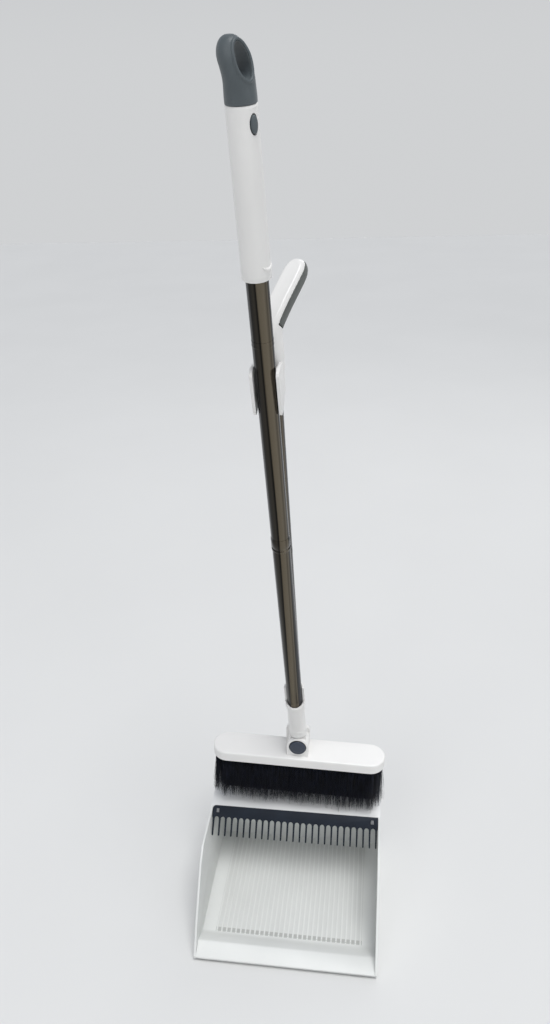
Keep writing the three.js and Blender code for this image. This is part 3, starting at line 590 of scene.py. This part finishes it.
def loop_section(rise):
    """The loop's bend back from the pole's axis and its half widths, at a height from 0 to 1."""
    close = math.sqrt(max(0.02, 1 - max(0, (rise - 0.6) / 0.4) ** 2))
    neck = 1 - 0.08 * math.sin(math.pi * min(1, max(0, (rise - 0.12) / 0.6)))
    return 6.5 * smoothstep(0.3, 1, rise), 12.4 * (0.12 + 0.88 * close), 12.4 * neck * (0.2 + 0.8 * close)


def eye_edge():
    """The line where the eye meets the loop's front."""
    edge = []
    for i in range(72):
        a = 2 * math.pi * i / 72
        x, z = 7.7 * math.cos(a), LOOP_BASE + 27.6 + 12.9 * math.sin(a)
        bend, hx, hy = loop_section((z - LOOP_BASE) / LOOP_TALL)
        edge.append(Vector((x, bend - hy * math.sqrt(max(0, 1 - (x / hx) ** 2)) + 0.35, z)))
    return edge


def ring_bar(name, line, radius, around=10):
    """A round bar along a closed line."""
    n = len(line)
    points = []
    for k, p in enumerate(line):
        way = (line[(k + 1) % n] - line[k - 1]).normalized()
        side = way.cross(Vector((0, 1, 0))).normalized()
        up = side.cross(way)
        points += [p + (side * math.cos(a) + up * math.sin(a)) * radius
                   for a in (2 * math.pi * i / around for i in range(around))]
    faces = [[k * around + i, k * around + (i + 1) % around,
              (k + 1) % n * around + (i + 1) % around, (k + 1) % n * around + i]
             for k in range(n) for i in range(around)]
    return new_object(name, points, faces, GRIP)


def build_loop():
    """The slate loop, bent back a little, with a flared eye and a raised rim round it."""
    rings = []
    for k in range(41):
        t = k / 40
        rise = 1 - (1 - t) ** 1.6
        z = LOOP_BASE + LOOP_TALL * rise
        bend, hx, hy = loop_section(rise)
        rings.append([(hx * math.cos(a), bend + hy * math.sin(a), z)
                      for a in (2 * math.pi * i / 64 for i in range(64))])
    loop = loft("loop_slate", rings, GRIP)
    eye = []
    for k in range(13):
        y = -26 + 5 * k
        flare = 1 + 0.13 * min(1, abs(y - 3) / 13) ** 4
        eye.append([(7.0 * flare * math.cos(a), y, LOOP_BASE + 28.3 + 0.04 * y + 11.7 * flare * math.sin(a))
                    for a in (2 * math.pi * i / 64 for i in range(64))])
    combine(loop, loft("eye", eye, GRIP), "DIFFERENCE")
    combine(loop, ring_bar("eye_rim", eye_edge(), EYE_RIM_RADIUS), "UNION")
    melted(loop, 0.4, 3)
    stand_for(loop, "hanging_loop")


build_grip()
build_loop()


# ------------------------------------------------------------------ broom's socket and head
def build_socket():
    """The socket round the broom tube's foot, open at the front, with its drum on the pivot."""
    front, top = 86.5, 117
    neck = lathe("socket_white", [(0, 19), (11.2, 19), (11.5, 22), (11.35, 60), (11.3, top), (0, top)], BROOM)
    combine(neck, lathe("socket_seam", disc(11.9, 30, 33.5, 0.8), BROOM), "UNION")
    combine(neck, lathe("socket_rim", disc(13.1, front - 6.5, top, 1.3), BROOM), "UNION")
    outline = [(14, top + 3), (-14, top + 3)]
    outline += [(14 * math.cos(math.pi * (1 + i / 24)), front + 9 + 9 * math.sin(math.pi * (1 + i / 24)))
                for i in range(25)]
    combine(neck, loft("mouth", [[(x, y, z) for x, z in outline] for y in (-40, -1)], BROOM), "DIFFERENCE")
    flat = LEVEL @ Matrix.Rotation(-math.pi / 2, 4, "X")
    drum = lathe("drum", disc(14.6, -8.8, 8.8, 1.0), flat)
    combine(neck, drum, "UNION")
    throat = loft("throat", [
        [(x, y, z) for x, y in ((-w, -d0), (w, -d0), (w, d1), (-w, d1))]
        for z, w, d0, d1 in ((0, 11.2, 8.4, 8.4), (16.5, 11.2, 8.4, 8.4), (24, 10.4, 10.4, 6.4))], LEVEL)
    combine(neck, throat, "UNION")
    combine(neck, lathe("bore", [(0, 50), (10.25, 50), (10.25, 170), (0, 170)], BROOM), "DIFFERENCE")
    melted(neck, 0.45, 2)
    stand_for(neck, "head_socket")


def stadium(half_length, half_depth, z, steps=20):
    """A level ring with two straight sides and round ends."""
    ring = []
    for side in (1, -1):
        centre = side * (half_length - half_depth)
        for i in range(steps + 1):
            a = (i / steps - 0.5) * math.pi + (math.pi if side < 0 else 0)
            ring.append((centre + half_depth * math.cos(a), half_depth * math.sin(a), z))
    return ring


HEAD_HALF, HEAD_DEPTH, HEAD_TOP, HEAD_BOTTOM = 120.5, 21.0, -16.0, -31.5
HEAD_WALL, REAR_CHEEK_X = 2.4, -1.9
# heights of the black ring that paints the shade in the gap round each pivot cap
GAP_SHADE_BACK, GAP_SHADE_FRONT = 14.42, 14.56


def rear_cheek():
    """The plate that stands up behind the socket's neck, with rounded shoulders and softened rims."""
    rings = []
    for y, inset in ((9.2, 0.9), (9.46, 0.26), (10.1, 0), (13.5, 0), (14.14, 0.26), (14.4, 0.9)):
        half, top, r = 16.4 - inset, 16.0 - inset, 6.0 - inset
        ring = [(REAR_CHEEK_X - half, HEAD_TOP - 1.5), (REAR_CHEEK_X + half, HEAD_TOP - 1.5)]
        for side in (1, -1):
            for i in range(13):
                a = math.pi / 2 * (i if side > 0 else 12 - i) / 12
                ring.append((REAR_CHEEK_X + side * (half - r + r * math.cos(a)), top - r + r * math.sin(a)))
        rings.append([(x, y, z) for x, z in ring])
    return loft("rear_cheek", rings, HEAD)


def build_head():
    """The hollow white head with its two cheeks, and the two caps on the pivot."""
    edge = 2.2
    rings = [stadium(HEAD_HALF - 0.7, HEAD_DEPTH - 0.7, HEAD_BOTTOM),
             stadium(HEAD_HALF, HEAD_DEPTH, HEAD_BOTTOM + 0.8)]
    for k in range(9):
        a = math.pi / 2 * k / 8
        inset = edge * (1 - math.cos(a))
        rings.append(stadium(HEAD_HALF - inset, HEAD_DEPTH - inset, HEAD_TOP - edge + edge * math.sin(a)))
    rings.append(stadium(HEAD_HALF - edge - 8, HEAD_DEPTH - edge - 8, HEAD_TOP + 0.25))
    shell = loft("head_white", rings, HEAD)
    hollow = loft("hollow", [stadium(HEAD_HALF - HEAD_WALL, HEAD_DEPTH - HEAD_WALL, z)
                             for z in (HEAD_BOTTOM - 1, HEAD_TOP - 3)], HEAD)
    combine(shell, hollow, "DIFFERENCE")
    across = HEAD @ Matrix.Rotation(-math.pi / 2, 4, "X")
    cheek = lathe("cheek", disc(15.0, -14.4, -9.2, 0.9), across)
    combine(cheek, box("foot", -14.85, 14.85, -14.3, -9.3, HEAD_TOP - 1.5, 0, HEAD), "UNION")
    combine(shell, cheek, "UNION")
    combine(shell, rear_cheek(), "UNION")
    smooth_by_angle(shell, 30)
    stand_for(shell, "head_shell")
    for node, r, sign in (("pivot_cap_front", 11.2, 1), ("pivot_cap_rear", 9.0, -1)):
        turn = HEAD @ Matrix.Rotation(sign * math.pi / 2, 4, "X")
        profile = [(0, 14.7), (r - 0.5, 14.7), (r, 15.2), (r, 15.9), (r - 0.4, 16.6), (r - 1.3, 17.1),
                   (r - 2.2, 17.2), (r - 2.6, 16.9), (r - 3.1, 16.9), (r - 3.6, 17.25),
                   (r * 0.45, 17.5), (0, 17.6)]
        cap = lathe(node + "_domed", profile, turn, sides=80)
        stand_for(smooth_by_angle(cap, 45), node, look=CAP_SLATE)
        # a thin black ring under each cap's rim paints the shade in the gap between cap and cheek
        ring = [(r - 2, GAP_SHADE_BACK), (r + 0.8, GAP_SHADE_BACK), (r + 0.8, GAP_SHADE_FRONT), (r - 2, GAP_SHADE_FRONT)]
        gap_shade = lathe(node + "_gap", ring, turn, sides=80, closed=True)
        gap_shade.data.materials.append(BLACK)
        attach(gap_shade, "broom_head")


def build_bristles():
    """Tufts of tapered filaments round a dark core, ragged and flared at their tips."""
    rng = random.Random(7)
    root_z, tip_z = HEAD_BOTTOM - 0.4, -104.0
    points, faces = [], []

    def filament(root, tip, sag, r0):
        first = len(points)
        steps = 4
        for k in range(steps + 1):
            t = k / steps
            c = root.lerp(tip, t) + sag * math.sin(math.pi * t * 0.9)
            r = r0 * (1 - 0.6 * t)
            turn = rng.random() * 0.4
            for i in range(3):
                a = 2 * math.pi * i / 3 + turn
                points.append((c.x + r * math.cos(a), c.y + r * math.sin(a), c.z))
        for k in range(steps):
            for i in range(3):
                a, b = first + 3 * k + i, first + 3 * k + (i + 1) % 3
                faces.append((a, b, b + 3, a + 3))
        faces.append((first + 2, first + 1, first))
        last = first + 3 * steps
        faces.append((last, last + 1, last + 2))

    columns, rows = 52, 7
    for i in range(columns):
        for j in range(rows):
            v = (j / (rows - 1) - 0.5) * 2
            x = ((i + 0.5 * (j % 2)) / (columns - 0.5) - 0.5) * 2 * 115.5
            y = v * 16.0
            if abs(x) > 103 and abs(y) > 15.5 * math.sqrt(max(0, 1 - ((abs(x) - 103) / 13.5) ** 2)) + 1:
                continue
            edge = max(abs(v), abs(x) / 118)
            count = 34 if edge > 0.6 else 12
            cut_to = rng.gauss(0, 1.0)
            bend = Vector((rng.gauss(0, 0.9), rng.gauss(0, 0.7), 0))
            for _ in range(count):
                a, rad = rng.random() * 2 * math.pi, 1.7 * math.sqrt(rng.random())
                root = Vector((x + rad * math.cos(a), y + rad * math.sin(a), root_z))
                flare = Vector((root.x / 118 * 3.6 - 1.2 + math.cos(a) * rad * 0.9 + rng.gauss(0, 1.3),
                                v * 2.6 + math.sin(a) * rad * 0.6 + rng.gauss(0, 0.8), 0)) + bend
                tip = Vector((root.x, root.y, tip_z + 1.5 + cut_to + abs(rng.gauss(0, 5.5)))) + flare
                sag = Vector((rng.gauss(0, 0.5), rng.gauss(0, 0.5), 0))
                filament(root, tip, sag, 0.2)
    for _ in range(26):
        x = rng.uniform(-112, 112)
        root = Vector((x, -16.5, root_z))
        tip = Vector((x + rng.gauss(2, 4), -22.5 + rng.gauss(0, 1.2), tip_z - rng.uniform(-2, 4)))
        filament(root, tip, Vector((rng.gauss(0, 1.5), -1.2, 0)), 0.26)
    strands = new_object("bristle_strands", points, faces, HEAD)
    for face in strands.data.polygons:
        face.use_smooth = True
    core = loft("core", [stadium(112, 13, root_z), stadium(113, 14, -62), stadium(111.5, 13.2, -88)], HEAD)
    strands.data.materials.append(FIBRE)
    core.data.materials.append(FIBRE)
    stand_for(strands, "bristles")
    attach(core, "broom_head")


build_socket()
build_head()
build_bristles()


# ------------------------------------------------------------------ camera, floor and light
def build_camera():
    yaw, pitch, roll = (math.radians(a) for a in (8.5, 28.0, -2.4))
    ahead = Vector((-math.sin(yaw) * math.cos(pitch), math.cos(yaw) * math.cos(pitch), -math.sin(pitch)))
    across = Vector((math.cos(yaw), math.sin(yaw), 0))
    down = ahead.cross(across)
    right = across * math.cos(roll) - down * math.sin(roll)
    down = across * math.sin(roll) + down * math.cos(roll)
    data = bpy.data.cameras.new("camera")
    data.sensor_fit = "VERTICAL"
    data.sensor_height = 36
    data.lens = 27.06
    data.clip_start = 0.01
    camera = bpy.data.objects.new("camera", data)
    turn = Matrix((right, -down, -ahead)).transposed().to_4x4()
    camera.matrix_world = Matrix.Translation(Vector((0.1044, -0.729, 1.0161))) @ turn
    bpy.context.scene.collection.objects.link(camera)
    bpy.context.scene.camera = camera


def area(name, size, power, place, target):
    """A rectangular lamp at place that shines at target."""
    data = bpy.data.lights.new(name, "AREA")
    data.shape = "RECTANGLE"
    data.size, data.size_y = size
    data.energy = power
    obj = bpy.data.objects.new(name, data)
    obj.location = place
    obj.rotation_euler = (Vector(target) - Vector(place)).to_track_quat("-Z", "Y").to_euler()
    bpy.context.scene.collection.objects.link(obj)


HORIZON, ZENITH = (0.63, 0.64, 0.65, 1), (0.27, 0.29, 0.33, 1)
FLOOR_HALF = 6000


def build_stage():
    corners = [(x * FLOOR_HALF, y * FLOOR_HALF, 0) for x, y in ((-1, -1), (1, -1), (1, 1), (-1, 1))]
    floor = new_object("floor", corners, [(0, 1, 2, 3)])
    floor.data.materials.append(material("pale_floor", (0.68, 0.68, 0.67), 0.7, tint=0.01, tint_scale=2,
                                         bump=0.02, bump_scale=200, specular=0.2))
    world = bpy.data.worlds.new("studio")
    world.use_nodes = True
    nodes, links = world.node_tree.nodes, world.node_tree.links
    where = nodes.new("ShaderNodeTexCoord")
    split = nodes.new("ShaderNodeSeparateXYZ")
    links.new(where.outputs["Generated"], split.inputs["Vector"])
    sky = nodes.new("ShaderNodeValToRGB")
    sky.color_ramp.interpolation = "EASE"
    sky.color_ramp.elements[0].position, sky.color_ramp.elements[0].color = 0.02, HORIZON
    sky.color_ramp.elements[1].position, sky.color_ramp.elements[1].color = 0.6, ZENITH
    links.new(split.outputs["Z"], sky.inputs["Fac"])
    links.new(sky.outputs["Color"], nodes["Background"].inputs["Color"])
    nodes["Background"].inputs["Strength"].default_value = 1.0
    bpy.context.scene.world = world
    sun = bpy.data.lights.new("sun", "SUN")
    sun.energy = 2.05
    sun.angle = math.radians(30)
    lamp = bpy.data.objects.new("sun", sun)
    lamp.rotation_euler = (Vector((-0.20, 0.20, -1))).to_track_quat("-Z", "Y").to_euler()
    bpy.context.scene.collection.objects.link(lamp)
    area("key", (1.2, 1.2), 10, (-0.9, -1.7, 2.2), (0, 0, 0.5))
    area("fill", (1.6, 1.6), 7, (1.9, -1.3, 1.5), (0, 0, 0.4))
    area("back", (1.2, 0.8), 6, (0.6, 1.7, 1.9), (0, 0, 0.5))


build_camera()
build_stage()
bpy.context.scene.view_settings.view_transform = "Standard"
